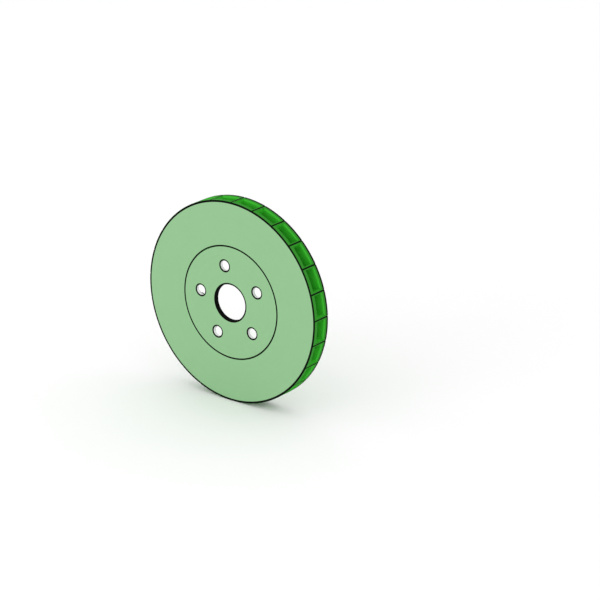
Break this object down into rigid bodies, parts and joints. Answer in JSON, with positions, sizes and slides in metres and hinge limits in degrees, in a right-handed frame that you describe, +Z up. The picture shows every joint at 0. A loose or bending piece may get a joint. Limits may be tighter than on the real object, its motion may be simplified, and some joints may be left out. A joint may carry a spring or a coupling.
{
  "type": "floating brake disc",
  "caption": "Ventilated car brake disc: an iron friction ring that floats on a flat aluminium hat by drive bobbins behind it.",
  "frame": {"origin": "centre of the hub seat: on the spin axis, in the plane where the hat's inboard face meets the hub flange", "axes": "+Y along the spin axis, pointing inboard to the car; the outboard friction face and the wheel face look along -Y; +Z up"},
  "size_m": [0.316, 0.032, 0.316],
  "materials": {
    "ring_iron": "cast iron under a green heat-proof coating, fine turning marks on the friction faces",
    "hat_aluminium": "aluminium, light green coating over turning marks",
    "bobbin_steel": "turned stainless steel",
    "spring_steel": "spring steel strip",
    "zinc_steel": "zinc plated",
    "black_steel": "black oxide",
    "insert_steel": "plain steel"
  },
  "bodies": {
    "hat": {"hat": "hat_aluminium", "drive_bobbin_01": "bobbin_steel", "drive_bobbin_02": "bobbin_steel", "drive_bobbin_03": "bobbin_steel", "drive_bobbin_04": "bobbin_steel", "drive_bobbin_05": "bobbin_steel", "drive_bobbin_06": "bobbin_steel", "drive_bobbin_07": "bobbin_steel", "drive_bobbin_08": "bobbin_steel", "drive_bobbin_09": "bobbin_steel", "drive_bobbin_10": "bobbin_steel", "wave_spring_01": "spring_steel", "wave_spring_02": "spring_steel", "wave_spring_03": "spring_steel", "wave_spring_04": "spring_steel", "wave_spring_05": "spring_steel", "wave_spring_06": "spring_steel", "wave_spring_07": "spring_steel", "wave_spring_08": "spring_steel", "wave_spring_09": "spring_steel", "wave_spring_10": "spring_steel", "flat_washers": "zinc_steel", "drive_bolts": "black_steel", "threaded_inserts": "insert_steel"},
    "ring": {"friction_ring": "ring_iron"}
  },
  "joints": [
    {"name": "ring_float", "type": "slide", "parent": "hat", "child": "ring", "axis": [0, 1, 0], "range_m": [0, 0.0006], "stiffness_N_per_m": 300000, "deforming": ["wave_spring_01", "wave_spring_02", "wave_spring_03", "wave_spring_04", "wave_spring_05", "wave_spring_06", "wave_spring_07", "wave_spring_08", "wave_spring_09", "wave_spring_10"]}
  ]
}
